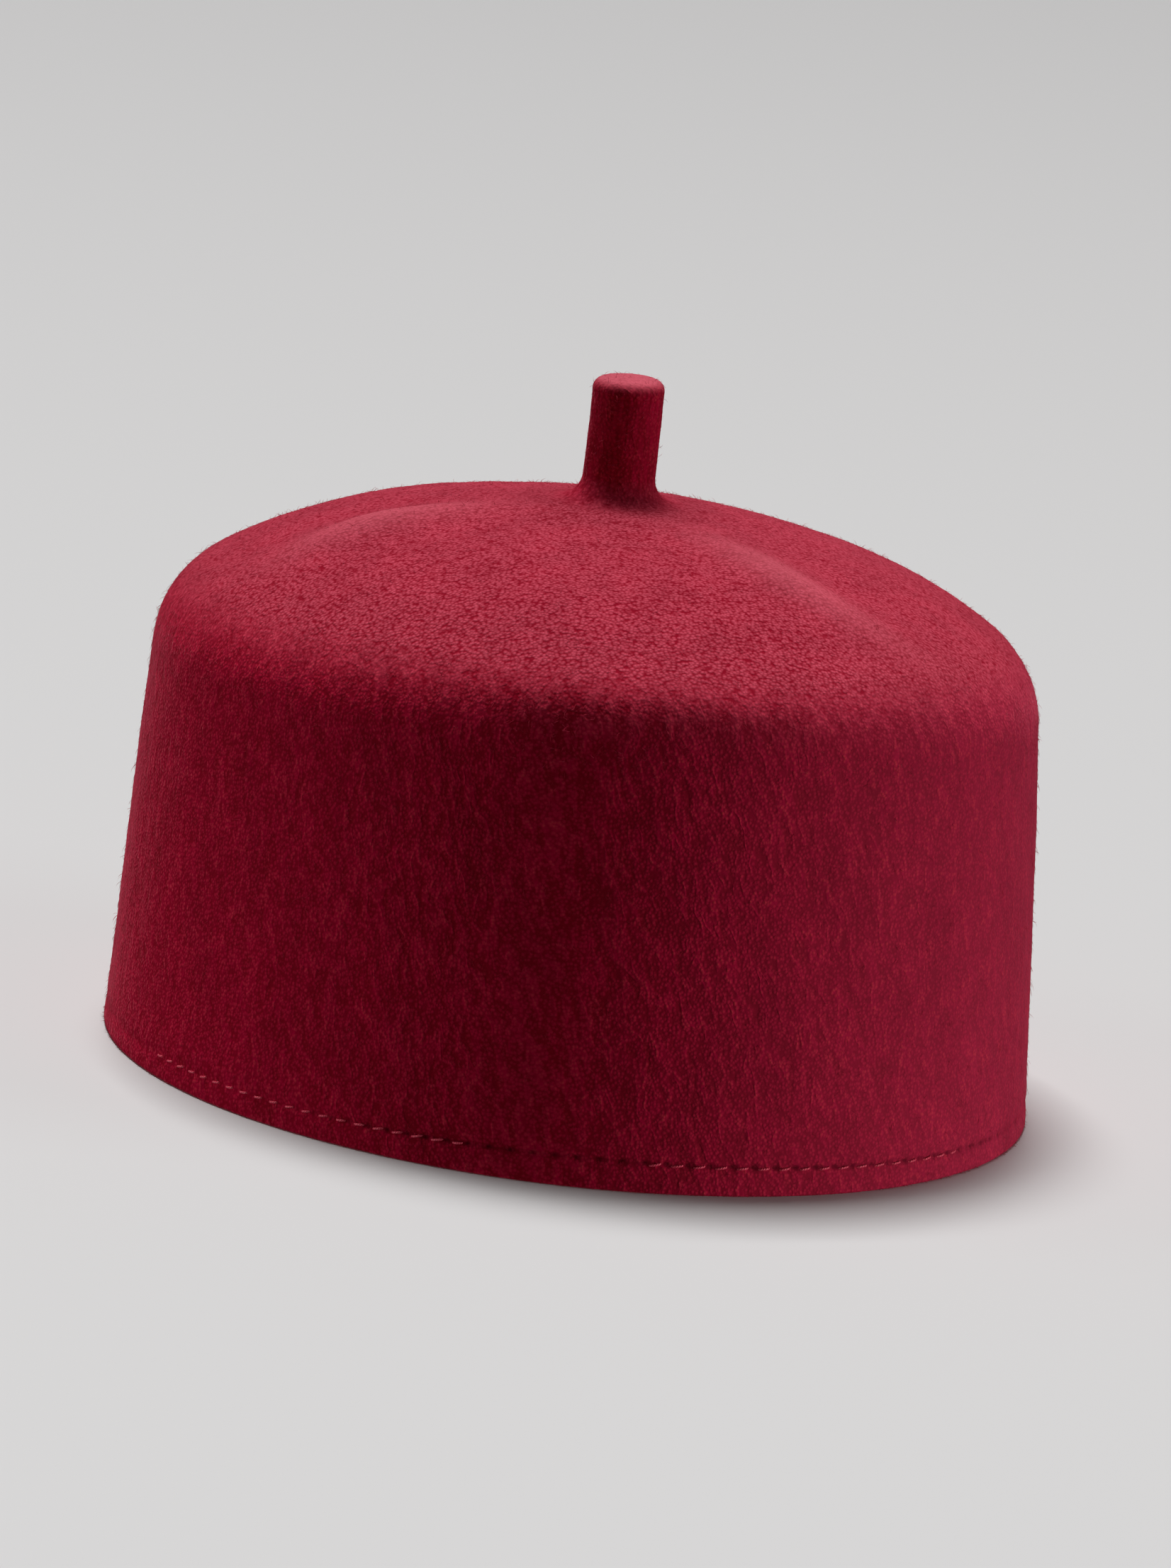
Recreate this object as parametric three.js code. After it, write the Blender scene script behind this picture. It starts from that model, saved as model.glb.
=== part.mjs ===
// Igbo cap: an oval cap moulded from one piece of wool felt, with a leaning wall, a rounded shoulder,
// a low crown and a felt stalk that grows out of its centre. The lower edge is turned in as a hem.
// Millimetres, +Z up. The hem stands on z = 0, the brow side faces -Y and the long way runs along Y.

import * as THREE from "three";

const { degToRad, smoothstep } = THREE.MathUtils;

// Plan of the hem's outer edge
const RIM_HALF_WIDTH = 88;
const RIM_HALF_LENGTH = 102.4;

// Felt and hem
const FELT_THICKNESS = 2.4;
const HEM_THICKNESS = 4.6;
const HEM_DEPTH = 9;
const HEM_EDGE_RADIUS = 0.6;
const CUT_EDGE_RADIUS = 0.8;

// Wall and shoulder
const WALL_LEAN = degToRad(3.2);
const WALL_TOP_HEIGHT = 80;
const SHOULDER_RADIUS = 22;
const SHOULDER_LIFT = 3.9; // the shoulder is this much higher on its high side and lower opposite
const HIGH_SIDE_ANGLE = degToRad(-23); // from the brow, towards +X

// The shoulder bulges beside the brow
const BULGE = 1.9;
const BULGE_HALF_WIDTH = 7;
const BULGE_SLOPE = degToRad(56); // of the shoulder where the bulge is highest
const BULGE_ANGLE = degToRad(-30); // from the brow, towards +X
const BULGE_SPREAD = degToRad(30);

// Crown
const CROWN_EDGE_SLOPE = degToRad(33.5);
const CROWN_TOP_SLOPE = degToRad(8.5);
const CROWN_HEIGHT = 118.3; // where the crown's slope would meet the axis, inside the stalk

// Stalk
const STALK_RADIUS = 7.2;
const STALK_HEIGHT = 23.5;
const STALK_FOOT_RADIUS = 5;
const STALK_EDGE_RADIUS = 2.3;
const STALK_TOP_RISE = 0.6;
const STALK_LEAN = degToRad(1.4);
const STALK_OFFSET = 1.6;
const STALK_LEAN_ANGLE = degToRad(55); // from the brow, towards +X

// The stalk's foot is round, and the crown turns oval between these distances from the axis
const ROUND_TO = STALK_RADIUS + STALK_FOOT_RADIUS;
const OVAL_FROM = 42;

// Soft ridges that run out from the stalk's foot, with a hollow on both sides. angle and bend are in
// degrees from the brow, towards +X. Past a distance from the axis a ridge turns aside by its bend.
const CROWN_RIDGES = [
  { angle: -107, bend: 3, peakAt: 50, end: 84, height: 1.9, hollow: 0.7 },
  { angle: 3, bend: 14, peakAt: 52, end: 90, height: 1.7, hollow: 0.4 },
];
const RIDGE_HALF_WIDTH = 6;
const RIDGE_SPREAD = degToRad(60); // past this angle from its line a ridge fades out
const RIDGE_BENDS_FROM = 45;
const RIDGE_BENDS_OVER = 37;
const HOLLOW_OFFSET = 15; // from the ridge's line to the middle of each hollow
const HOLLOW_HALF_WIDTH = 7;

// Fineness
const TURN_STEPS = 80;
const ARC_STEPS = 3;
const SMALL_ARC_STEPS = 2;
const SHOULDER_STEPS = 6;
const CROWN_STEPS = 9;

const RIM_MEAN_RADIUS = (RIM_HALF_WIDTH + RIM_HALF_LENGTH) / 2;

// A point at a distance and an angle from a centre, in the section's plane of radius and height.
function polar(centre, radius, angle) {
  return new THREE.Vector2(
    centre.x + radius * Math.cos(angle),
    centre.y + radius * Math.sin(angle),
  );
}

// Points along an arc about a centre, from one angle to another.
function arc(centre, radius, from, to, steps = ARC_STEPS) {
  const step = (to - from) / steps;
  return Array.from({ length: steps + 1 }, (_, i) => polar(centre, radius, from + step * i));
}

// Points of the crown's curve between two ends, each with its own downward slope away from the axis.
function crownCurve(inner, innerSlope, outer, outerSlope) {
  const third = (outer.x - inner.x) / 3;
  return new THREE.CubicBezierCurve(
    outer,
    new THREE.Vector2(outer.x - third, outer.y + third * Math.tan(outerSlope)),
    new THREE.Vector2(inner.x + third, inner.y - third * Math.tan(innerSlope)),
    inner,
  ).getPoints(CROWN_STEPS);
}

// A bell curve of height 1 over a distance from its middle.
function bell(distance, halfWidth) {
  return Math.exp(-((distance / halfWidth) ** 2));
}

// The section of the felt as a round cap of the mean radius, from the axis inside to the axis on top,
// with the radius where the crown meets the shoulder and the middle of the shoulder's bulge.
function feltSection() {
  const lean = Math.tan(WALL_LEAN);
  const edgeRadius = HEM_EDGE_RADIUS;
  const outerEdge = new THREE.Vector2(RIM_MEAN_RADIUS - edgeRadius, edgeRadius);
  const wallFoot = polar(outerEdge, edgeRadius, WALL_LEAN);
  const wallTop = new THREE.Vector2(wallFoot.x - (WALL_TOP_HEIGHT - wallFoot.y) * lean, WALL_TOP_HEIGHT);
  const shoulder = polar(wallTop, SHOULDER_RADIUS, Math.PI + WALL_LEAN);
  const crownEdgeAngle = Math.PI / 2 - CROWN_EDGE_SLOPE;

  // Inside: the crown, the shoulder and the wall lie one felt thickness in from the outside.
  const innerRadius = SHOULDER_RADIUS - FELT_THICKNESS;
  const innerTop = new THREE.Vector2(0, CROWN_HEIGHT - FELT_THICKNESS / Math.cos(CROWN_TOP_SLOPE));
  const innerCrownEdge = polar(shoulder, innerRadius, crownEdgeAngle);
  const innerWallTop = polar(shoulder, innerRadius, WALL_LEAN);
  const insideAt = (height) => innerWallTop.x + (innerWallTop.y - height) * lean;

  // The hem: the turned-in layer ends in a cut edge and comes down to the flat that it stands on.
  const hemFace = HEM_THICKNESS - FELT_THICKNESS;
  const cutEdge = new THREE.Vector2(
    insideAt(HEM_DEPTH) - hemFace + CUT_EDGE_RADIUS,
    HEM_DEPTH - CUT_EDGE_RADIUS,
  );
  const innerEdge = new THREE.Vector2(
    insideAt(edgeRadius) - hemFace + edgeRadius,
    edgeRadius,
  );

  // Stalk: the foot's arc touches the crown's slope and the stalk's side.
  const top = CROWN_HEIGHT + STALK_HEIGHT;
  const footX = STALK_RADIUS + STALK_FOOT_RADIUS;
  const foot = new THREE.Vector2(
    footX,
    CROWN_HEIGHT - footX * Math.tan(CROWN_TOP_SLOPE) + STALK_FOOT_RADIUS / Math.cos(CROWN_TOP_SLOPE),
  );
  const footAngle = -Math.PI / 2 - CROWN_TOP_SLOPE;
  const crownTop = polar(foot, STALK_FOOT_RADIUS, footAngle);
  const stalkEdge = new THREE.Vector2(
    STALK_RADIUS - STALK_EDGE_RADIUS,
    top - STALK_TOP_RISE - STALK_EDGE_RADIUS,
  );

  const innerCrown = crownCurve(innerTop, CROWN_TOP_SLOPE, innerCrownEdge, CROWN_EDGE_SLOPE).reverse();
  const crownEdge = polar(shoulder, SHOULDER_RADIUS, crownEdgeAngle);
  const outerCrown = crownCurve(crownTop, CROWN_TOP_SLOPE, crownEdge, CROWN_EDGE_SLOPE);
  const points = [
    ...innerCrown,
    ...arc(shoulder, innerRadius, crownEdgeAngle, WALL_LEAN).slice(1),
    new THREE.Vector2(insideAt(HEM_DEPTH), HEM_DEPTH),
    ...arc(cutEdge, CUT_EDGE_RADIUS, Math.PI / 2, Math.PI, SMALL_ARC_STEPS),
    ...arc(innerEdge, edgeRadius, Math.PI, Math.PI * 1.5),
    ...arc(outerEdge, edgeRadius, -Math.PI / 2, WALL_LEAN),
    ...arc(shoulder, SHOULDER_RADIUS, WALL_LEAN, crownEdgeAngle, SHOULDER_STEPS),
    ...outerCrown.slice(1),
    ...arc(foot, STALK_FOOT_RADIUS, footAngle, -Math.PI).slice(1),
    ...arc(stalkEdge, STALK_EDGE_RADIUS, 0, Math.PI / 2, SMALL_ARC_STEPS),
    new THREE.Vector2(0, top),
  ];
  const bulgeMiddle = polar(shoulder, SHOULDER_RADIUS, Math.PI / 2 - BULGE_SLOPE);
  return { points, crownEdgeRadius: crownEdge.x, bulgeMiddle };
}

// Height that the ridges and the hollows beside them add to the crown at a distance and an angle.
function crownRelief(radius, angle) {
  const turned = (Math.max(radius - RIDGE_BENDS_FROM, 0) / RIDGE_BENDS_OVER) ** 2;
  return CROWN_RIDGES.reduce((sum, ridge) => {
    const away = angle - degToRad(ridge.angle + ridge.bend * turned);
    const across = radius * Math.sin(away);
    const onThisSide = smoothstep(Math.cos(away), 0, Math.cos(RIDGE_SPREAD));
    const rise = smoothstep(radius, ROUND_TO, ridge.peakAt);
    const fall = 1 - smoothstep(radius, ridge.peakAt, ridge.end);
    const crest = ridge.height * bell(across, RIDGE_HALF_WIDTH);
    const hollow = ridge.hollow * bell(Math.abs(across) - HOLLOW_OFFSET, HOLLOW_HALF_WIDTH);
    return sum + onThisSide * rise * fall * (crest - hollow);
  }, 0);
}

// Turns the round form into the real one: an oval plan, a shoulder that is higher on one side and
// bulges beside the brow, soft ridges, and a stalk that stands a little off the middle and leans.
function shapeFelt(geometry, { crownEdgeRadius, bulgeMiddle }) {
  const position = geometry.attributes.position;
  const point = new THREE.Vector3();
  for (let i = 0; i < position.count; i += 1) {
    point.fromBufferAttribute(position, i);
    const radius = Math.hypot(point.x, point.y);
    const angle = Math.atan2(point.x, -point.y);
    const oval = Math.min(radius / crownEdgeRadius, 1) * smoothstep(radius, ROUND_TO, OVAL_FROM);
    const lift = Math.min(point.z / WALL_TOP_HEIGHT, 1) * smoothstep(radius, 0, crownEdgeRadius);
    const stalk = 1 - smoothstep(radius, ROUND_TO, OVAL_FROM);
    const shift = stalk * (STALK_OFFSET + Math.max(point.z - CROWN_HEIGHT, 0) * Math.tan(STALK_LEAN));
    const fromBulge = Math.hypot(radius - bulgeMiddle.x, point.z - bulgeMiddle.y);
    const bulge = BULGE * bell(fromBulge, BULGE_HALF_WIDTH) * bell(angle - BULGE_ANGLE, BULGE_SPREAD);
    const reach = radius + bulge * Math.sin(BULGE_SLOPE);
    const x = (reach + oval * (RIM_HALF_WIDTH - RIM_MEAN_RADIUS)) * Math.sin(angle);
    const y = -(reach + oval * (RIM_HALF_LENGTH - RIM_MEAN_RADIUS)) * Math.cos(angle);
    const raised = bulge * Math.cos(BULGE_SLOPE) + crownRelief(radius, angle);
    position.setXYZ(
      i,
      x + shift * Math.sin(STALK_LEAN_ANGLE),
      y - shift * Math.cos(STALK_LEAN_ANGLE),
      point.z + lift * SHOULDER_LIFT * Math.cos(angle - HIGH_SIDE_ANGLE) + raised,
    );
  }
  geometry.computeVertexNormals();
  return geometry;
}

const section = feltSection();
const geometry = new THREE.LatheGeometry(section.points, TURN_STEPS);
geometry.rotateX(Math.PI / 2);

const redFelt = new THREE.MeshStandardMaterial({ color: "#9b1c31", roughness: 0.95, metalness: 0 });
const cap = new THREE.Mesh(shapeFelt(geometry, section), redFelt);
cap.name = "felt_cap";

const object = new THREE.Group();
object.add(cap);
export default object;
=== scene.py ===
"""Igbo cap: an oval cap moulded from one piece of red wool felt, with a felt stalk and a stitched hem.

The script models the felt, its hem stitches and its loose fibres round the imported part, and stands the
cap on a pale studio floor. Lengths are metres. Angles round the cap run from the brow (-Y) towards +X.
"""

import math

import bpy
import numpy as np
from mathutils import Matrix, Vector


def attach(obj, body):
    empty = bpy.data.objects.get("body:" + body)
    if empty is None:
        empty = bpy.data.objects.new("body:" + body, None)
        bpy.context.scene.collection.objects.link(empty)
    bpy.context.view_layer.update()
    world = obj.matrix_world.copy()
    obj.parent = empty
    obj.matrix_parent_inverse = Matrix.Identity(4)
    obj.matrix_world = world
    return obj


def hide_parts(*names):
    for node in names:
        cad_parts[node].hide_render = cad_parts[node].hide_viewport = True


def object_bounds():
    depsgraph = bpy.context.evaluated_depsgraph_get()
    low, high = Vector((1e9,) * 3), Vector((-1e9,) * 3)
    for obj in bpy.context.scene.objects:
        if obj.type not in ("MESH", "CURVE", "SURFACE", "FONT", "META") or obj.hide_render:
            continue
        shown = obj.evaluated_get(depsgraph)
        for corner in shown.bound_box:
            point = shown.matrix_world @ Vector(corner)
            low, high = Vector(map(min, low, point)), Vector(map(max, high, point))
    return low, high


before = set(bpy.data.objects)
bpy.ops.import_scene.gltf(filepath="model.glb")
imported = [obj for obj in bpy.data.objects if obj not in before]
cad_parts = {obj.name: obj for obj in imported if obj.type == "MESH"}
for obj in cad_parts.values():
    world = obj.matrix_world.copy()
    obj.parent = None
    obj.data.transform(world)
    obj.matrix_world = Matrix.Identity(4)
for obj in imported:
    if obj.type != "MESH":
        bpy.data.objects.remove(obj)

bl_info = {
    "name": "Igbo Cap",
    "version": (1, 0, 0),
    "blender": (4, 5, 0),
    "location": "3D View > Sidebar > Igbo Cap",
    "description": "Moulds a stalked red felt cap with a stitched hem and a brushed nap",
    "category": "Add Mesh",
}

MM = 0.001
CAD_NODE = "felt_cap"
BODY = "root"
CAD_LOW, CAD_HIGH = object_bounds()
RIM_HALF_WIDTH = (CAD_HIGH.x - CAD_LOW.x) / 2
RIM_HALF_LENGTH = (CAD_HIGH.y - CAD_LOW.y) / 2
RIM_MEAN = (RIM_HALF_WIDTH + RIM_HALF_LENGTH) / 2
CAP_HEIGHT = CAD_HIGH.z - CAD_LOW.z

# Soft ridges that run out from the stalk's foot over the crown, and turn aside towards the shoulder.
# angle and bend are in degrees, the rest in millimetres.
CROWN_RIDGES = (
    {"angle": -107, "bend": 3, "peak_at": 50, "end": 84, "height": 1.9, "hollow": 0.7},
    {"angle": 3, "bend": 14, "peak_at": 52, "end": 90, "height": 1.7, "hollow": 0.4},
)
RIDGE_HALF_WIDTH = 6 * MM
RIDGE_SPREAD = math.radians(60)
RIDGE_BENDS_FROM = 45 * MM
RIDGE_BENDS_OVER = 37 * MM
HOLLOW_OFFSET = 15 * MM
HOLLOW_HALF_WIDTH = 7 * MM

# The nap is rubbed pale along a ridge's line, and a painted highlight lies on it there. It turns from
# smooth to pebbled between these distances from the line, measured towards the other ridge.
RUBBED_HIGHLIGHT_HALF_WIDTH = 6.5 * MM
PEBBLED = (-6 * MM, 12 * MM)

# The stalk's foot is round, and the crown turns oval between these distances from the axis
ROUND_TO = 12.2 * MM
OVAL_FROM = 42 * MM

# The shoulder bulges beside the brow, most where it has this slope
BULGE_SIDE = math.radians(-30)
BULGE_SPREAD = math.radians(30)
BULGE_SLOPE = math.radians(56)
BULGE = 1.9 * MM
BULGE_HALF_WIDTH = 7 * MM

# The hem stitches run higher round this direction
SEAM_HIGH_SIDE = math.radians(-30)
SEAM_HIGH_SPREAD = math.radians(40)

# From the +X side, by the nape, to the middle of a hem stitch
FIRST_STITCH = 288.4 * MM

# Finish round the stalk, with its painted highlight and painted shade, and of the shoulder
STALK_TOP_HIGHLIGHT = 1.45  # painted highlight: how pale its top is painted with the rubbed colour, where a crown ridge's line has 1
STALK_SHADE_TO = 30 * MM  # painted shade: the felt round its foot is painted darker up to here from the axis
STALK_SHADE_SIDE = math.radians(-15)  # and the painted shade is darkest on this side
STALK_SHADE_VARIES = 0.3
CROWN_NAP = (4 * MM, 16 * MM)  # the crown's nap fades in between these distances from the axis
SHOULDER_NAP = 1.6  # power of the curve by which it fades out over the shoulder

# The creases in the crown's nap run this way, from +X towards the nape
CREASES_RUN = math.radians(-35)

# The wall is painted paler and pinker towards this direction, a painted sheen, measured from +X towards
# the nape
PAINTED_SHEEN_SIDE = math.radians(-35)

# Stretches where the hem stitches are drawn into the felt: direction of the middle and half the width
COVERED = tuple(np.radians(stretch) for stretch in ((-39.5, 11), (-115, 15), (45, 27)))

# The needle holes are open round this direction, out to the second angle, and close over the third
HOLES_OPEN = math.radians(-18)
HOLES_SPREAD = math.radians(38)
HOLES_CLOSE = math.radians(25)
HOLE_DEPTH = 0.45 * MM
HOLE_HALF_WIDTH = 0.8 * MM
HOLE_HALF_HEIGHT = 0.45 * MM
HOLE_CREASE = 0.3  # depth of the crease that joins the holes, as a share of theirs

# The channel that the seam presses into the hem and the low swells beside it, in millimetres. above is
# measured from the stitches.
SEAM_RELIEF = (
    {"height": -0.12, "above": 0, "half_width": 1.0},
    {"height": 0.06, "above": -2.4, "half_width": 1.6},
    {"height": 0.06, "above": 3.0, "half_width": 2.0},
)

# Unevenness of the felt: height and size in millimetres, drawn out upright where that is under 1, and the
# seed of its random heights. It fades in between two heights over the hem, which has only its own.
UNEVENNESS = (
    {"height": 0.30, "size": 30, "upright": 0.55, "seed": 11},
    {"height": 0.13, "size": 9, "upright": 0.6, "seed": 12},
    {"height": 0.07, "size": 3.4, "upright": 1, "seed": 13},
)
HEM_UNEVENNESS = ({"height": 0.04, "size": 6, "upright": 1, "seed": 14},)
UNEVEN_ABOVE = (8 * MM, 20 * MM)

# Stitches
STITCH_SLANT = (8, 2)  # mean and spread, in degrees
STITCH_SPREAD = 0.04  # of their length
STITCH_BURIED = 0.45 * MM  # how much further each end runs than it shows
STITCH_RISE = 0.07 * MM  # of the thread's middle over the felt
STITCH_DIVE = 0.8 * MM  # how much deeper its ends lie, and all of it where it is drawn in
STITCH_TAPER = 0.25  # how much thinner the thread is at its ends
STITCH_FLATNESS = 0.85  # its thickness for its width
THREAD_TURN = 0.9 * MM  # length of one turn of its plies
STITCH_SEED = 21

# Loose fibres. The strands are thicker than wool, which is too fine to show.
FIBRE_WIDTH = 0.07 * MM
FIBRE_WIDTHS = (0.7, 1.3)  # least and most, for that width
FIBRE_TAPER = 0.5  # how much thinner the last ring is
FIBRE_SUNK = 0.12 * MM  # how deep the root lies
FIBRE_RISE = (0.06, 0.9)  # least and most, in millimetres
FIBRE_RISE_POWER = 1.7  # the higher, the more fibres lie low and the further a few stand proud
FIBRE_SEED = 5

# For each nap: the stretches of felt it grows on, a fibre's least and greatest length and its usual rise
# in millimetres, how strongly it points down and strays from that, its curl, and its rings
NAPS = {
    "wall": {
        "stretches": ("wall", "shoulder", "hem"), "lengths": (0.9, 2.2), "proud": 0.09,
        "downwards": 1.0, "stray": 0.6, "curl": 0.45, "rings": 3,
    },
    "hem": {
        "stretches": ("fold",), "lengths": (0.4, 1.0), "proud": 0.25,
        "downwards": 0.5, "stray": 1.0, "curl": 0.3, "rings": 2,
    },
    "crown": {
        "stretches": ("crown", "foot", "stalk", "stalk_edge", "stalk_top", "shoulder"),
        "lengths": (0.6, 1.7), "proud": 0.09,
        "downwards": 0.0, "stray": 1.0, "curl": 0.3, "rings": 2,
    },
}

# Section and fineness of the felt
CUT_EDGE = 0.8 * MM  # radius of the inner layer's cut edge
HEM_SPLITS = (8.6 * MM, 7.2 * MM, 2.6 * MM)  # heights where its columns double twice and halve again
CROWN_SPLITS = (26 * MM, 48 * MM)  # distances from the axis where the crown's columns double
CROWN_RINGS = 60
INNER_RINGS = 26
INNER_SPLITS = (14, 20)  # rings where the inner crown's columns halve
STALK_TOP_FROM = 0.12  # radius of its first ring, as a share of the stalk's flat top
SEAM_STEPS = 4096

# The studio's front is beside the brow. From there a long lens, a little above the hem and held a little
# tilted, looks at a point on the axis.
STUDIO_FRONT = math.radians(-35)
CAMERA_RISE = math.radians(12.65)
CAMERA_TILT = math.radians(4.7)
CAMERA_DISTANCE = 2.665
CAMERA_LENS = 306  # millimetres
CAMERA_CLIP = (0.1, 60)
CAMERA_AIM = 0.41  # height of that point, as a share of the cap's
FLOOR_HALF_SIDE = 12.0
FLOOR_DROP = 0.05 * MM

# Softboxes: turn from the studio's front towards the camera's right and rise in degrees, distance and
# size in metres, power in watts. The world's light comes from above and below at these strengths.
SOFTBOXES = (
    {"name": "overhead_softbox", "turn": -157, "rise": 77, "distance": 5, "size": 1.6, "power": 257},
    {"name": "right_softbox", "turn": 78, "rise": 4, "distance": 3, "size": 1.6, "power": 38.5},
    {"name": "left_softbox", "turn": -96, "rise": 4, "distance": 3, "size": 1.2, "power": 19.6},
)
LIGHT_FROM_BELOW = 0.205
LIGHT_FROM_ABOVE = 0.067


# ---------------------------------------------------------------------------------------------------
# Settings


def linear(hex_colour):
    """A scene-linear colour from an sRGB hex value such as "#9b1b2f"."""
    channels = (int(hex_colour[i : i + 2], 16) / 255 for i in (1, 3, 5))
    return tuple(c / 12.92 if c <= 0.04045 else ((c + 0.055) / 1.055) ** 2.4 for c in channels)


def length(label, default_mm, description):
    """A length property whose default is given in millimetres."""
    return bpy.props.FloatProperty(
        name=label, description=description, default=default_mm * MM, min=0, unit="LENGTH", precision=4
    )


def angle(label, degrees, description):
    """An angle property whose default is given in degrees."""
    return bpy.props.FloatProperty(
        name=label, description=description, default=math.radians(degrees), subtype="ANGLE"
    )


def colour(label, hex_colour, description):
    """A colour property whose default is an sRGB hex value."""
    colour_range = {"size": 3, "subtype": "COLOR", "min": 0, "max": 1}
    return bpy.props.FloatVectorProperty(
        name=label, description=description, default=linear(hex_colour), **colour_range
    )


def amount(label, default, description):
    """A property that counts things."""
    return bpy.props.IntProperty(name=label, description=description, default=default, min=0)


class IGBOCAP_PG_sizes(bpy.types.PropertyGroup):
    """Sizes of the felt, its hem and its stitches."""

    felt: length("Felt", 2.4, "Thickness of one layer of felt")
    hem: length("Hem", 4.6, "Thickness of the turned-in hem, two layers pressed together")
    hem_depth: length("Hem depth", 9, "How far the turned-in layer reaches up inside")
    hem_edge: length("Hem edge", 0.6, "Radius of the fold's rounded edges")
    wall_lean: angle("Wall lean", 3.2, "How far the wall leans in towards the crown")
    wall_top: length("Wall top", 80, "Height where the straight wall ends")
    shoulder: length("Shoulder", 22, "Radius of the turn from wall to crown")
    shoulder_lift: length("Shoulder lift", 3.9, "How much higher the shoulder is on its high side")
    high_side: angle("High side", -23, "Direction of the shoulder's high side")
    crown_edge: angle("Crown edge", 33.5, "Slope of the crown where it leaves the shoulder")
    crown_top: angle("Crown top", 8.5, "Slope of the crown at the stalk's foot")
    stalk: length("Stalk", 7.2, "Radius of the stalk")
    stalk_height: length("Stalk height", 23.5, "Height of the stalk above the crown")
    stalk_foot: length("Stalk foot", 5, "Radius of the flare at the stalk's foot")
    stalk_edge: length("Stalk edge", 2.3, "Radius of the stalk's top edge")
    stalk_rise: length("Stalk top", 0.6, "How much the stalk's top is domed")
    stalk_offset: length("Stalk offset", 1.6, "How far the stalk stands from the middle")
    stalk_lean: angle("Stalk lean", 1.4, "How far the stalk leans")
    stalk_side: angle("Stalk side", 55, "Direction in which the stalk leans")
    seam_height: length("Seam height", 4.5, "Height of the hem stitches away from the brow")
    seam_rise: length("Seam rise", 1.2, "How much higher the hem stitches run beside the brow")
    stitch_pitch: length("Stitch pitch", 4.37, "Distance from one needle hole to the next")
    stitch_length: length("Stitch", 2.0, "Length of thread that shows between two holes")
    thread: length("Thread", 0.46, "Thickness of the sewing thread")


class IGBOCAP_PG_finish(bpy.types.PropertyGroup):
    """Colours and amount of nap."""

    # The deep colours are partly the felt's own grain and partly painted shade in its hollows
    wall: colour("Wall", "#b90036", "Raised fibres of the brushed wall")
    wall_deep: colour("Wall, deep", "#940020", "Hollows between the fibres of the wall")
    # Painted highlight on the fibre tips
    wall_tips: colour("Wall, tips", "#e2444c", "Fibre tips that catch the light")
    # Painted sheen: the wall's colour on the side where it is painted paler and pinker
    wall_sheened: colour("Wall, faded", "#b43a58", "Fibres that light has faded on one side of the wall")
    # The crown's colours are paler and pinker than the wall's, partly its own nap and partly painted sheen
    crown: colour("Crown", "#cc4c60", "Raised nap of the crown")
    crown_deep: colour("Crown, deep", "#8e0822", "Hollows in the nap of the crown")
    # Partly rubbed nap, partly a painted highlight along the ridges and on the stalk's top
    crown_rubbed_highlit: colour("Crown, rubbed", "#d0606f", "Nap rubbed pale along the crown's ridges")
    wall_fibre: colour("Wall fibre", "#b0203a", "Loose fibres on the wall")
    crown_fibre: colour("Crown fibre", "#b8364c", "Loose fibres on the crown and stalk")
    thread: colour("Thread", "#ff506c", "Sewing thread")
    thread_deep: colour("Thread, deep", "#f03e5c", "Sewing thread between its plies")
    floor: colour("Floor", "#d6d5d5", "Studio floor in front of the cap")
    # Painted shade: the floor's falloff of light further back
    floor_far_shaded: colour("Floor, far", "#bab9b9", "Studio floor further back")
    wall_fibres: amount("Wall fibres", 11500, "Loose fibres on the wall")
    hem_fibres: amount("Hem fibres", 4000, "Loose fibres along the hem's fold")
    crown_fibres: amount("Crown fibres", 17000, "Loose fibres on the crown and stalk")


# ---------------------------------------------------------------------------------------------------
# Shape of the felt


def smoothstep(value, low, high):
    """0 below low, 1 above high, and an S-curve between."""
    t = np.clip((value - low) / (high - low), 0, 1)
    return t * t * (3 - 2 * t)


def bell(distance, half_width, power=2):
    """A bell curve: 1 in the middle, 1/e at half_width, and flatter on top for a higher power."""
    return np.exp(-(np.abs(distance / half_width) ** power))


def turn_between(start, end):
    """The signed angle from one direction to another, the short way round."""
    return np.angle(np.exp(1j * (end - start)))


def polar(centre, radius, turn):
    """Radius and height of the point at a distance and an angle from a centre in the section."""
    return np.stack([centre[0] + radius * np.cos(turn), centre[1] + radius * np.sin(turn)], -1)


def arc(centre, radius, start, end, points):
    """Points on a circle about a centre, from angle start to angle end."""
    return polar(centre, radius, np.linspace(start, end, points))


def straight(start, end, points):
    """Points on a straight line."""
    return np.linspace(start, end, points)


def crown_curve(inner, inner_slope, outer, outer_slope, points):
    """A cubic height over radius that meets both ends with the given downward slopes."""
    t = np.linspace(0, 1, points)
    run = outer[0] - inner[0]
    height = (
        (2 * t**3 - 3 * t**2 + 1) * inner[1]
        - (t**3 - 2 * t**2 + t) * run * math.tan(inner_slope)
        + (3 * t**2 - 2 * t**3) * outer[1]
        - (t**3 - t**2) * run * math.tan(outer_slope)
    )
    return np.stack([inner[0] + run * t, height], 1)


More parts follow.
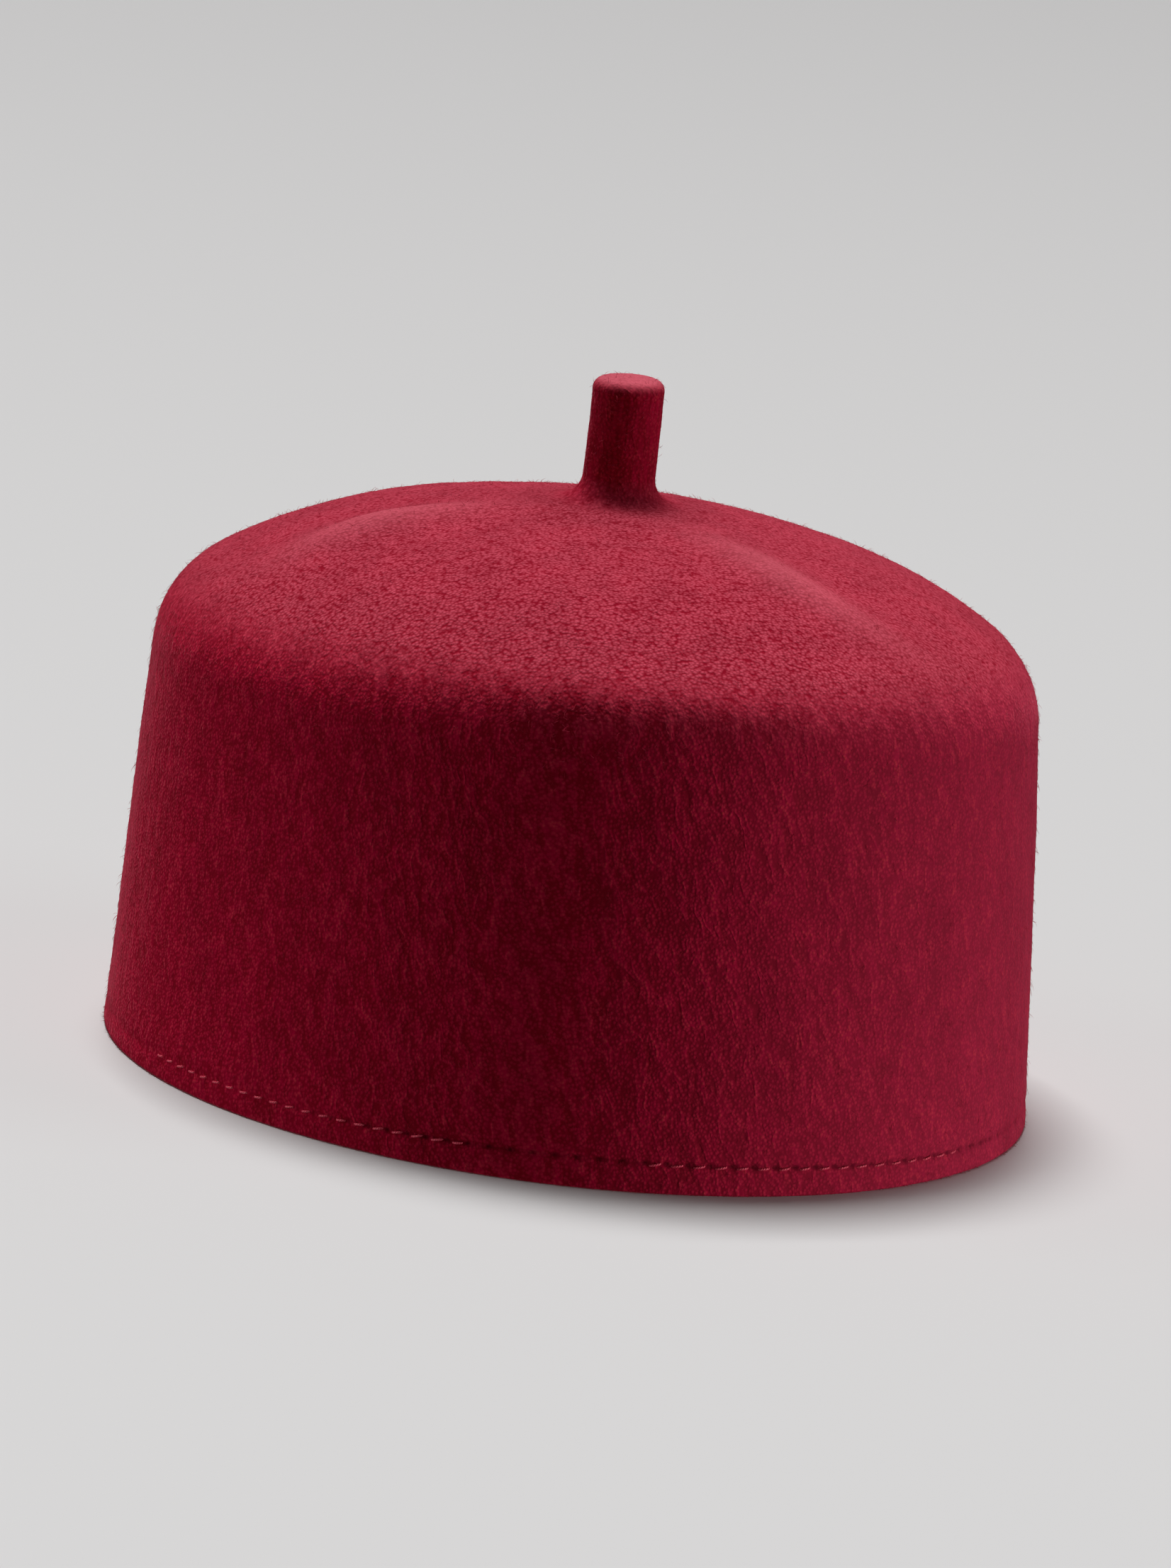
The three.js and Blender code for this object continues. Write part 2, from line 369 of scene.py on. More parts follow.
def felt_section(sizes):
    """The felt's section as a round cap of the mean radius: down the outside and up the inside.

    Returns the section's points as radius and height, with the number of columns that each ring has
    round the cap and the name of its stretch. Rings get finer towards the hem, two columns for one.
    """
    lean = math.tan(sizes.wall_lean)
    edge = sizes.hem_edge
    outer_edge = (RIM_MEAN - edge, edge)
    wall_foot = polar(outer_edge, edge, sizes.wall_lean)
    wall_top = (wall_foot[0] - (sizes.wall_top - wall_foot[1]) * lean, sizes.wall_top)
    centre = polar(wall_top, sizes.shoulder, math.pi + sizes.wall_lean)
    edge_angle = math.pi / 2 - sizes.crown_edge
    crown_edge = polar(centre, sizes.shoulder, edge_angle)

    apex = CAP_HEIGHT - sizes.stalk_height
    foot_x = sizes.stalk + sizes.stalk_foot
    foot_fall = foot_x * math.tan(sizes.crown_top) - sizes.stalk_foot / math.cos(sizes.crown_top)
    foot = (foot_x, apex - foot_fall)
    foot_angle = -math.pi / 2 - sizes.crown_top
    crown_start = polar(foot, sizes.stalk_foot, foot_angle)
    top_radius = sizes.stalk - sizes.stalk_edge
    stalk_edge = (top_radius, CAP_HEIGHT - sizes.stalk_rise - sizes.stalk_edge)
    dome = np.linspace(STALK_TOP_FROM, 1, 6)
    stalk_top = np.stack([top_radius * dome, CAP_HEIGHT - sizes.stalk_rise * dome**2], 1)

    inner_radius = sizes.shoulder - sizes.felt
    inner_edge = polar(centre, inner_radius, edge_angle)
    inner_top = polar(centre, inner_radius, sizes.wall_lean)
    inner_apex = (0, apex - sizes.felt / math.cos(sizes.crown_top))
    hem_face = sizes.hem - sizes.felt

    def inside(height):
        return inner_top[0] + (inner_top[1] - height) * lean

    def wall(height):
        return wall_foot[0] - (height - wall_foot[1]) * lean, height

    cut_edge = (inside(sizes.hem_depth) - hem_face + CUT_EDGE, sizes.hem_depth - CUT_EDGE)
    fold_edge = (inside(edge) - hem_face + edge, edge)
    layer_foot, layer_top = (fold_edge[0] - edge, edge), (cut_edge[0] - CUT_EDGE, cut_edge[1])
    hem_top, seam_high, seam_low = (wall(height) for height in HEM_SPLITS)
    crown = crown_curve(crown_start, sizes.crown_top, crown_edge, sizes.crown_edge, CROWN_RINGS)
    near, far = np.searchsorted(crown[:, 0], CROWN_SPLITS)
    inner_crown = crown_curve(inner_apex, sizes.crown_top, inner_edge, sizes.crown_edge, INNER_RINGS)[::-1]
    outer, inner = INNER_SPLITS
    # Name of the stretch, columns round the cap and points; each starts where the one before it ends
    stretches = (
        ("stalk_top", 64, stalk_top),
        ("stalk_edge", 64, arc(stalk_edge, sizes.stalk_edge, math.pi / 2, 0, 8)[1:]),
        ("stalk", 64, straight((sizes.stalk, stalk_edge[1]), (sizes.stalk, foot[1]), 18)[1:]),
        ("foot", 128, arc(foot, sizes.stalk_foot, -math.pi, foot_angle, 9)[1:]),
        ("crown", 128, crown[1:near]),
        ("crown", 256, crown[near:far]),
        ("crown", 512, crown[far:]),
        ("shoulder", 512, arc(centre, sizes.shoulder, edge_angle, sizes.wall_lean, 20)[1:]),
        ("wall", 512, straight(wall_top, hem_top, 28)[1:]),
        ("hem", 1024, straight(hem_top, seam_high, 3)[1:]),
        ("hem", 2048, straight(seam_high, seam_low, 14)[1:]),
        ("hem", 1024, straight(seam_low, wall_foot, 4)[1:]),
        ("fold", 512, arc(outer_edge, edge, sizes.wall_lean, -math.pi / 2, 7)[1:]),
        ("rest", 256, straight((outer_edge[0], 0), (fold_edge[0], 0), 4)[1:]),
        ("inner_hem", 256, arc(fold_edge, edge, -math.pi / 2, -math.pi, 6)[1:]),
        ("inner_hem", 256, straight(layer_foot, layer_top, 9)[1:]),
        ("inner_hem", 256, arc(cut_edge, CUT_EDGE, math.pi, math.pi / 2, 5)[1:]),
        ("inside", 256, straight((inside(sizes.hem_depth), sizes.hem_depth), inner_top, 16)),
        ("inside", 256, arc(centre, inner_radius, sizes.wall_lean, edge_angle, 10)[1:]),
        ("inside", 256, inner_crown[1:outer]),
        ("inside", 128, inner_crown[outer:inner]),
        ("inside", 64, inner_crown[inner:-1]),
    )
    return {
        "points": np.concatenate([places for _, _, places in stretches]),
        "columns": np.concatenate([np.full(len(places), columns) for _, columns, places in stretches]),
        "names": np.concatenate([np.full(len(places), name) for name, _, places in stretches]),
        "poles": ((0, CAP_HEIGHT), inner_apex),
        "crown_edge": crown_edge[0],
        "bulge": polar(centre, sizes.shoulder, math.pi / 2 - BULGE_SLOPE),
    }


def ridge_places(radius, around, ridge):
    """Distance across from a ridge's line and how strong the ridge is there, from 0 to 1.

    The line keeps its angle and then turns aside with the square of the distance.
    """
    turned = (np.maximum(radius - RIDGE_BENDS_FROM, 0) / RIDGE_BENDS_OVER) ** 2
    away = around - math.radians(ridge["angle"]) - math.radians(ridge["bend"]) * turned
    peak_at, end = ridge["peak_at"] * MM, ridge["end"] * MM
    along = smoothstep(radius, ROUND_TO, peak_at) * (1 - smoothstep(radius, peak_at, end))
    return radius * np.sin(away), along * smoothstep(np.cos(away), 0, math.cos(RIDGE_SPREAD))


def crown_relief(radius, around):
    """Height of the ridges and of the hollows beside them: bell curves across each ridge's line."""
    total = np.zeros_like(radius)
    for ridge in CROWN_RIDGES:
        across, strength = ridge_places(radius, around, ridge)
        crest = ridge["height"] * bell(across, RIDGE_HALF_WIDTH)
        hollow = ridge["hollow"] * bell(np.abs(across) - HOLLOW_OFFSET, HOLLOW_HALF_WIDTH)
        total += strength * (crest - hollow) * MM
    return total


def crown_finish(radius, around):
    """Shares of rubbed nap with its painted highlight and of pebbled nap, from 0 to 1.

    The felt is rubbed pale along each ridge's line, where a painted highlight also lies, as a bell curve,
    and pebbled between the ridges.
    """
    rubbed_highlit = np.zeros_like(radius)
    for ridge in CROWN_RIDGES:
        across, strength = ridge_places(radius, around, ridge)
        rubbed_highlit = np.maximum(rubbed_highlit, strength * bell(across, RUBBED_HIGHLIGHT_HALF_WIDTH))
    left, right = (math.radians(ridge["angle"]) for ridge in CROWN_RIDGES)
    middle, half = (left + right) / 2, (right - left) / 2
    inside = (half - np.abs(turn_between(middle, around))) * np.maximum(radius, ROUND_TO)
    return rubbed_highlit, smoothstep(inside, *PEBBLED)


def shape_felt(sizes, section, radius, height, around):
    """Places of points on the cap from their radius and height on the round section and their angle.

    The plan is oval: a constant distance in from the oval rim on the wall, in proportion on the crown,
    and round at the stalk's foot. The shoulder is lifted by a cosine of the angle from its high side,
    and beside the brow it is pushed out square to its slope by a bell curve each way.
    """
    apex = CAP_HEIGHT - sizes.stalk_height
    near_stalk = 1 - smoothstep(radius, ROUND_TO, OVAL_FROM)
    oval = np.minimum(radius / section["crown_edge"], 1) * (1 - near_stalk)
    lift = np.minimum(height / sizes.wall_top, 1) * smoothstep(radius, 0, section["crown_edge"])
    shift = near_stalk * (sizes.stalk_offset + np.maximum(height - apex, 0) * math.tan(sizes.stalk_lean))
    from_bulge = np.hypot(radius - section["bulge"][0], height - section["bulge"][1])
    beside_bulge = turn_between(BULGE_SIDE, around)
    bulge = BULGE * bell(from_bulge, BULGE_HALF_WIDTH) * bell(beside_bulge, BULGE_SPREAD)
    reach = radius + bulge * math.sin(BULGE_SLOPE)
    x = (reach + oval * (RIM_HALF_WIDTH - RIM_MEAN)) * np.sin(around)
    y = -(reach + oval * (RIM_HALF_LENGTH - RIM_MEAN)) * np.cos(around)
    raised = bulge * math.cos(BULGE_SLOPE) + crown_relief(radius, around)
    return np.stack(
        [
            x + shift * math.sin(sizes.stalk_side),
            y - shift * math.cos(sizes.stalk_side),
            height + lift * sizes.shoulder_lift * np.cos(around - sizes.high_side) + raised,
        ],
        1,
    )


def value_noise(places, size, seed):
    """Smooth random heights from -1 to 1: random values on a lattice of the given size, blended."""
    period = 64
    table = np.random.default_rng(seed).uniform(-1, 1, (period, period, period))
    scaled = places / size
    cell = np.floor(scaled).astype(int)
    part = scaled - cell
    part = part * part * (3 - 2 * part)
    total = np.zeros(len(places))
    for corner in np.ndindex(2, 2, 2):
        weight = np.prod(np.where(corner, part, 1 - part), axis=1)
        total += weight * table[tuple(((cell + corner) % period).T)]
    return total


class Seam:
    """The line of hem stitches: the angle round the cap for each distance along it, and back."""

    def __init__(self, sizes):
        self.sizes = sizes
        self.angles = np.linspace(0, 2 * math.pi, SEAM_STEPS + 1)
        lean = math.tan(sizes.wall_lean)
        inset = (sizes.seam_height - sizes.hem_edge) * lean
        x = (RIM_HALF_WIDTH - inset) * np.sin(self.angles)
        y = -(RIM_HALF_LENGTH - inset) * np.cos(self.angles)
        steps = np.hypot(np.diff(x), np.diff(y))
        self.lengths = np.concatenate([[0], np.cumsum(steps)])
        self.count = round(self.lengths[-1] / sizes.stitch_pitch)
        self.pitch = self.lengths[-1] / self.count
        self.start = 0.5 - (self.lengths[-1] / 4 + FIRST_STITCH) / self.pitch

    def height_at(self, around):
        """Height of the stitches at an angle: a bell curve on top of their usual height."""
        rise = self.sizes.seam_rise * bell(turn_between(SEAM_HIGH_SIDE, around), SEAM_HIGH_SPREAD)
        return self.sizes.seam_height + rise

    def stitches_at(self, around):
        """Distance along the seam at an angle, counted in stitches."""
        return np.interp(around, self.angles, self.lengths) / self.pitch + self.start

    def angle_at(self, stitches):
        """Angle round the cap at a distance along the seam, counted in stitches."""
        distance = ((stitches - self.start) * self.pitch) % self.lengths[-1]
        return np.interp(distance, self.lengths, self.angles)


def covered(around, middle, half_width):
    """How far the thread is drawn into the felt at an angle, from 0 to 1: a flat-topped bell curve."""
    return bell(turn_between(middle, around), half_width, 10)


def needle_share(seam, height, around):
    """How much the felt is drawn in at needle holes, from 0 to 1: a bell curve about each hole.

    A crease joins the holes. Away from the brow both have closed up.
    """
    phase = seam.stitches_at(around)
    along = (phase - np.round(phase)) * seam.pitch
    above = height - seam.height_at(around)
    from_brow = np.abs(turn_between(HOLES_OPEN, around))
    opened = 1 - smoothstep(from_brow, HOLES_SPREAD, HOLES_SPREAD + HOLES_CLOSE)
    holes = HOLE_CREASE + (1 - HOLE_CREASE) * bell(along, HOLE_HALF_WIDTH)
    return opened * holes * bell(above, HOLE_HALF_HEIGHT)


def unevenness(places, waves):
    """Height of the felt's unevenness: smooth random heights of a few sizes, one on top of the other."""
    total = 0
    for wave in waves:
        drawn_out = places * (1, 1, wave["upright"])
        total += wave["height"] * MM * value_noise(drawn_out, wave["size"] * MM, wave["seed"])
    return total


def felt_relief(seam, section, ring, places, around):
    """How far the felt stands proud of its smooth section: seam channel, needle holes and unevenness."""
    names = section["names"][ring]
    height = section["points"][ring, 1]
    above = height - seam.height_at(around)
    pressed = -HOLE_DEPTH * needle_share(seam, height, around)
    for band in SEAM_RELIEF:
        pressed += band["height"] * MM * bell(above - band["above"] * MM, band["half_width"] * MM)
    pressed = np.where(np.isin(names, ("wall", "hem")), pressed, 0)
    free = np.isin(names, ("foot", "crown", "shoulder", "wall", "inside", "stalk"))
    uneven = unevenness(places, UNEVENNESS) * smoothstep(height, *UNEVEN_ABOVE)
    return pressed + np.where(free, uneven, unevenness(places, HEM_UNEVENNESS))


def ring_faces(columns):
    """Faces between rings of points, as arrays of corners (ring, column), outside out.

    Rings with as many columns join by quads. Where one ring has twice the columns of the other, each
    coarse step joins to two fine ones by three triangles. Columns count on past the last one, so that
    a corner also says how far round it is.
    """
    faces = []
    for ring, (here, after) in enumerate(zip(columns[:-1], columns[1:])):
        j = np.arange(min(here, after))
        a, b = np.full_like(j, ring), np.full_like(j, ring + 1)
        if here == after:
            faces.append([(a, j), (b, j), (b, j + 1), (a, j + 1)])
        elif after == 2 * here:
            faces.append([(a, j), (b, 2 * j), (b, 2 * j + 1)])
            faces.append([(a, j), (b, 2 * j + 1), (a, j + 1)])
            faces.append([(a, j + 1), (b, 2 * j + 1), (b, 2 * j + 2)])
        elif here == 2 * after:
            faces.append([(a, 2 * j), (b, j), (a, 2 * j + 1)])
            faces.append([(a, 2 * j + 1), (b, j), (b, j + 1)])
            faces.append([(a, 2 * j + 1), (b, j + 1), (a, 2 * j + 2)])
        else:
            raise ValueError("neighbouring rings may only double or halve their columns")
    return [np.stack([np.stack(corner, 1) for corner in face], 1) for face in faces]


def new_object(name, vertices, faces, smooth=True):
    """A mesh object from vertex places and a list of (faces, corners) index arrays."""
    mesh = bpy.data.meshes.new(name)
    corners = np.concatenate([f.ravel() for f in faces])
    sizes = np.concatenate([np.full(len(f), f.shape[1]) for f in faces])
    mesh.vertices.add(len(vertices))
    mesh.vertices.foreach_set("co", np.asarray(vertices, np.float32).ravel())
    mesh.loops.add(len(corners))
    mesh.loops.foreach_set("vertex_index", corners.astype(np.int32))
    mesh.polygons.add(len(sizes))
    mesh.polygons.foreach_set("loop_start", (np.cumsum(sizes) - sizes).astype(np.int32))
    mesh.polygons.foreach_set("use_smooth", np.full(len(sizes), smooth))
    mesh.update(calc_edges=True)
    mesh.validate()
    piece = bpy.data.objects.new(name, mesh)
    bpy.context.scene.collection.objects.link(piece)
    return piece


def set_uv(piece, values):
    """Gives a piece a UV map from one pair of values for each face corner."""
    layer = piece.data.uv_layers.new(name="UVMap")
    layer.uv.foreach_set("vector", np.asarray(values, np.float32).ravel())


def finish_piece(piece, material):
    """Gives a piece its material and lets it ride."""
    piece.data.materials.append(material)
    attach(piece, BODY)


def felt_shares(sizes, seam, section, ring, around):
    """How much of each finish the felt has at each point, and last at the poles on top and inside.

    The crown's nap fades in round the stalk and out over the shoulder, as S-curves. The stalk and the felt
    round its foot take painted shade, darker near the stalk, and varying by a cosine of the angle from its
    darkest side.
    """
    names = section["names"]
    radius, height = section["points"].T
    crown = np.isin(names, ("foot", "crown")) * smoothstep(radius, *CROWN_NAP)
    for name, end, power in (("stalk_top", 1, 1), ("stalk_edge", 0, 1), ("shoulder", 0, SHOULDER_NAP)):
        fade = np.linspace(1, end, np.sum(names == name))
        crown[names == name] = smoothstep(fade, 0, 1) ** power
    # Painted shade on the stalk and on the crown round its foot
    near = 1 - smoothstep(radius, sizes.stalk, STALK_SHADE_TO)
    near *= np.isin(names, ("stalk_edge", "stalk", "foot", "crown"))
    near[names == "stalk_edge"] = 1 - crown[names == "stalk_edge"]
    varies = 1 - STALK_SHADE_VARIES + STALK_SHADE_VARIES * np.cos(around - STALK_SHADE_SIDE)
    stalk = near[ring] * np.where(np.isin(names, ("foot", "crown"))[ring], varies, 1)
    wound = np.isin(names, ("stalk_edge", "stalk")).astype(float)
    wound[names == "foot"] = np.linspace(1, 0, np.sum(names == "foot"))
    rubbed_highlit, pebbled = crown_finish(radius[ring], around)
    top = np.isin(names, ("stalk_top", "stalk_edge"))[ring]
    # The stalk's top takes a painted highlight
    rubbed_highlit[top], pebbled[top] = STALK_TOP_HIGHLIGHT, 1
    needle = np.isin(names, ("wall", "hem"))[ring] * needle_share(seam, height[ring], around)
    return {
        "crown_share": np.append(crown[ring], (1, 1)),
        "rubbed_highlit_share": np.append(rubbed_highlit, (STALK_TOP_HIGHLIGHT, 0)),
        "pebbled_share": np.append(pebbled, (1, 0)),
        "stalk_share": np.append(stalk, (0, 0)),
        "wound_share": np.append(wound[ring], (0, 0)),
        "needle_share": np.append(needle, (0, 0)),
    }


def felt_mesh(sizes):
    """The whole felt as one closed mesh: vertex places, faces, stretches and shares of each finish.

    Each point of the section is carried round the cap as a ring. Neighbouring rings are joined, and the
    first and the last one are closed by a fan about a pole.
    """
    section = felt_section(sizes)
    points, columns = section["points"], section["columns"]
    first = np.concatenate([[0], np.cumsum(columns)])
    ring = np.repeat(np.arange(len(columns)), columns)
    column = np.arange(first[-1]) - first[ring]
    around = 2 * math.pi * column / columns[ring]
    seam = Seam(sizes)

    step = np.gradient(points, axis=0)
    normal = np.stack([-step[:, 1], step[:, 0]], 1) / np.hypot(*step.T)[:, None]
    outward = np.stack(
        [normal[ring, 0] * np.sin(around), -normal[ring, 0] * np.cos(around), normal[ring, 1]], 1
    )
    places = shape_felt(sizes, section, points[ring, 0], points[ring, 1], around)
    places += outward * felt_relief(seam, section, ring, places, around)[:, None]
    places[:, 2] = np.maximum(places[:, 2], 0)
    pole_radius, pole_height = np.array(section["poles"]).T
    poles = shape_felt(sizes, section, pole_radius, pole_height, np.zeros(2))

    faces = []
    for face in ring_faces(columns):
        rings, cols = face[..., 0], face[..., 1]
        faces.append(first[rings] + cols % columns[rings])
    for pole, (end, order) in enumerate(((0, (0, 1, 2)), (len(columns) - 1, (1, 0, 2)))):
        j = np.arange(columns[end])
        fan = [np.full_like(j, len(places) + pole), first[end] + j, first[end] + (j + 1) % columns[end]]
        faces.append(np.stack([fan[k] for k in order], 1))
    return {
        "places": np.concatenate([places, poles]),
        "faces": faces,
        "shares": felt_shares(sizes, seam, section, ring, around),
        "names": np.append(section["names"][ring], ["stalk_top", "inside"]),
    }


# ---------------------------------------------------------------------------------------------------
# Materials


def add(tree, kind, inputs, output=0, **settings):
    """Adds a node with its settings and its inputs, each a value or a socket, and returns one output."""
    node = tree.nodes.new("ShaderNode" + kind)
    for key, value in settings.items():
        setattr(node, key, value)
    for key, value in inputs.items():
        if isinstance(value, bpy.types.NodeSocket):
            tree.links.new(value, node.inputs[key])
        else:
            node.inputs[key].default_value = value
    return node.outputs[output]


def new_material(name):
    """A material that has only its output node yet, and its node tree."""
    material = bpy.data.materials.new(name)
    material.use_nodes = True
    tree = material.node_tree
    tree.nodes.clear()
    tree.nodes.new("ShaderNodeOutputMaterial")
    return material, tree


def finish_material(tree, shader):
    """Links a shader to the material's output."""
    tree.links.new(shader, tree.nodes["Material Output"].inputs["Surface"])


def per_mm(size_mm):
    """The scale of a pattern whose features are this many millimetres across."""
    return 1 / (size_mm * MM)


def felt_material(finish):
    """Brushed wool felt: matt, with wisps laid down the wall and nap curled into pebbles on the crown."""
    material, tree = new_material("Brushed red wool felt")
    coords = add(tree, "TexCoord", {}, "Object")
    height = add(tree, "SeparateXYZ", {"Vector": coords}, "Z")
    side = {0: coords, 1: (math.cos(PAINTED_SHEEN_SIDE), math.sin(PAINTED_SHEEN_SIDE), 0)}
    side = add(tree, "VectorMath", side, "Value", operation="DOT_PRODUCT")
    shares = ("crown", "rubbed_highlit", "pebbled", "stalk", "wound", "needle")
    crown, rubbed_highlit, pebbled, stalk, wound, needle = (
        add(tree, "Attribute", {}, "Fac", attribute_name=share + "_share") for share in shares
    )

    # Coordinates that lie slantwise down the wall, run across the crown and are drawn out up the stalk
    drift = add(tree, "TexNoise", {"Vector": coords, "Scale": per_mm(7), "Detail": 2}, "Color")
    swayed, wander = (
        add(tree, "VectorMath", {0: drift, 1: (sway * MM,) * 3, 2: coords}, operation="MULTIPLY_ADD")
        for sway in (3.5, 5)
    )
    mappings = (
        {"Vector": swayed, "Rotation": (-0.19, -0.3, 0), "Scale": (1, 1, 3)},
        {"Vector": wander, "Rotation": (0, 0, CREASES_RUN), "Scale": (2.4, 1, 1)},
        {"Vector": coords, "Scale": (1, 1, 7)},
    )
    laid, across, upright = (add(tree, "Mapping", mapping, vector_type="TEXTURE") for mapping in mappings)

    # Noises: coordinates, size in millimetres and detail
    noises = (
        (laid, 2.0, 2),
        (laid, 1.7, 0),
        (laid, 2.4, 0),
        (laid, 9, 3),
        (across, 0.8, 0),
        (wander, 3.5, 2),
        (upright, 0.9, 1),
    )
    locks, strands, pits, blotch, creases, wrinkles, rolled = (
        add(tree, "TexNoise", {"Vector": vector, "Scale": per_mm(size), "Detail": detail}, "Fac")
        for vector, size, detail in noises
    )
    strands, rolled = (
        add(tree, "Math", {0: noise, 1: 0.5}, operation="SUBTRACT") for noise in (strands, rolled)
    )
    strands, aside = (add(tree, "Math", {0: value}, operation="ABSOLUTE") for value in (strands, side))
    speckles = add(tree, "TexVoronoi", {"Vector": coords, "Scale": per_mm(0.7)}, "Distance")
    beads = {"Vector": coords, "Scale": per_mm(0.72), "Randomness": 0.85}
    beads = add(tree, "TexVoronoi", beads, "Distance")

    # Values, and the two ranges that each is brought from and to
    ranges = (
        (speckles, 0.1, 0.65, 1, 0),
        (strands, 0, 0.13, 1, 0),
        (locks, 0.44, 0.6, 0, 1),
        (pits, 0.22, 0.36, 1, 0),
        (aside, 20 * MM, 75 * MM, 1, 0.6),
        # Share of the painted sheen on one side of the wall
        (side, 0, 85 * MM, 0, 0.4),
        (beads, 0, 0.8, 1, 0),
        (creases, 0.25, 0.45, 1, 0),
        (pebbled, 0, 1, 0.8, 1),
        (blotch, 0.3, 0.7, 0.92, 1.08),
        # Painted light: the felt is painted lighter towards the hem, standing in for light from below
        (height, 0, 70 * MM, 1.13, 0.98),
    )
    keys = ("Value", "From Min", "From Max", "To Min", "To Max")
    speckles, strands, tufts, pits, brushed, sheened, beads, creases, raised, shade, rise = (
        add(tree, "MapRange", dict(zip(keys, values))) for values in ranges
    )

    # Wall: fine speckles, locks laid slantwise down the wall, thin pale wisps and small pits. It is
    # brushed smoother at both sides.
    wisps = add(tree, "Math", {0: strands, 1: tufts}, operation="MULTIPLY")
    locked = -0.66
    for part, share in ((locks, 1.2), (wisps, 0.4), (pits, -0.3)):
        locked = add(tree, "Math", {0: part, 1: share, 2: locked}, operation="MULTIPLY_ADD")
    locked = add(tree, "Math", {0: locked, 1: brushed}, operation="MULTIPLY")
    speckled = add(tree, "Math", {0: speckles, 1: 0.22}, operation="SUBTRACT")
    wall_height = add(tree, "Math", {0: speckled, 1: 0.4, 2: locked}, operation="MULTIPLY_ADD")
    wall_height = add(tree, "Math", {0: wall_height, 1: 0.22}, operation="MULTIPLY")
    wall_tone = add(tree, "Math", {0: locked, 1: 0.75}, operation="MULTIPLY")
    wall_tone = add(tree, "Math", {0: speckled, 1: 0.42, 2: wall_tone}, operation="MULTIPLY_ADD")

    # Crown: nap curled into fine beads, short dark creases that run across, and low wrinkles
    curled = -0.19
    for part, share in ((beads, 0.46), (creases, -0.13)):
        curled = add(tree, "Math", {0: part, 1: share, 2: curled}, operation="MULTIPLY_ADD")
    curled = add(tree, "Math", {0: curled, 1: raised, 2: -0.04}, operation="MULTIPLY_ADD")
    crown_tone = add(tree, "Math", {0: wrinkles, 1: 0.08, 2: curled}, operation="MULTIPLY_ADD")
    crown_height = add(tree, "Math", {0: crown_tone, 1: 0.36}, operation="MULTIPLY")

    # Stalk: fibres wound lengthwise
    rolled = add(tree, "Math", {0: speckled, 1: 0.25, 2: rolled}, operation="MULTIPLY_ADD")
    wall_tone = add(tree, "Mix", {"Factor": wound, "A": wall_tone, "B": rolled}, "Result")

    tone = add(tree, "Mix", {"Factor": crown, "A": wall_tone, "B": crown_tone}, "Result")
    relief = add(tree, "Mix", {"Factor": crown, "A": wall_height, "B": crown_height}, "Result")
    bump = add(tree, "Bump", {"Strength": 1.0, "Distance": 1.1 * MM, "Height": relief})

    # The tone is darker in the hollows and paler on raised fibres, partly the felt's own grain and partly
    # painted shade and painted highlight. The wall is painted paler on one side as a painted sheen, and
    # the tips of its wisps take painted highlights. The crown's nap is paler than the wall, partly its own
    # colour and partly painted sheen, and palest along the ridges, where it is rubbed and takes a painted
    # highlight. Painted shade darkens the stalk, the felt round its foot and the felt drawn in by the
    # needle. The felt is painted lighter towards the hem, standing in for light from below, and blotched
    # at random.
    tone = add(tree, "MapRange", {"Value": tone, "From Min": -0.2, "From Max": 0.2})
    pale = add(tree, "Math", {0: rubbed_highlit, 1: 0.5}, operation="MULTIPLY")
    # Painted highlights on the fibre tips of the wisps
    caught = add(tree, "MapRange", {"Value": wisps, "To Min": 0.12, "To Max": 0.6})
    tips = add(tree, "Math", {0: speckles, 1: caught}, operation="MULTIPLY")
    wall, top = (*finish.wall_deep, 1), (*finish.crown_deep, 1)
    for share, dye in ((tone, finish.wall), (sheened, finish.wall_sheened), (tips, finish.wall_tips)):
        wall = {"Factor": share, "A": wall, "B": (*dye, 1)}
        wall = add(tree, "Mix", wall, "Result", data_type="RGBA")
    for share, dye in ((tone, finish.crown), (pale, finish.crown_rubbed_highlit)):
        top = {"Factor": share, "A": top, "B": (*dye, 1)}
        top = add(tree, "Mix", top, "Result", data_type="RGBA")
    felt = add(tree, "Mix", {"Factor": crown, "A": wall, "B": top}, "Result", data_type="RGBA")
    shade = add(tree, "Math", {0: shade, 1: rise}, operation="MULTIPLY")
    # Painted shade on the stalk and round its foot, and in the needle holes and their crease
    for share, depth in ((stalk, 0.36), (needle, 0.6)):
        lit = add(tree, "MapRange", {"Value": share, "To Min": 1, "To Max": 1 - depth})
        shade = add(tree, "Math", {0: shade, 1: lit}, operation="MULTIPLY")
    felt = add(tree, "VectorMath", {0: felt, "Scale": shade}, operation="SCALE")
    surface = {
        "Base Color": felt,
        "Roughness": 0.95,
        "IOR": 1.45,
        "Specular IOR Level": 0.08,
        "Sheen Weight": 0.25,
        "Sheen Roughness": 0.22,
        "Sheen Tint": (*linear("#ff8094"), 1),
        "Normal": bump,
    }
    finish_material(tree, add(tree, "BsdfPrincipled", surface))
    return material


def fibre_material(name, strand):
    """Loose wool fibre: a plain matt strand with a soft sheen along its edges."""
    material, tree = new_material(name)
    surface = {
        "Base Color": (*strand, 1),
        "Roughness": 0.9,
        "Specular IOR Level": 0.1,
        "Sheen Weight": 0.2,
        "Sheen Roughness": 0.5,
        "Sheen Tint": (*linear("#ff8c9c"), 1),
    }
    finish_material(tree, add(tree, "BsdfPrincipled", surface))
    return material


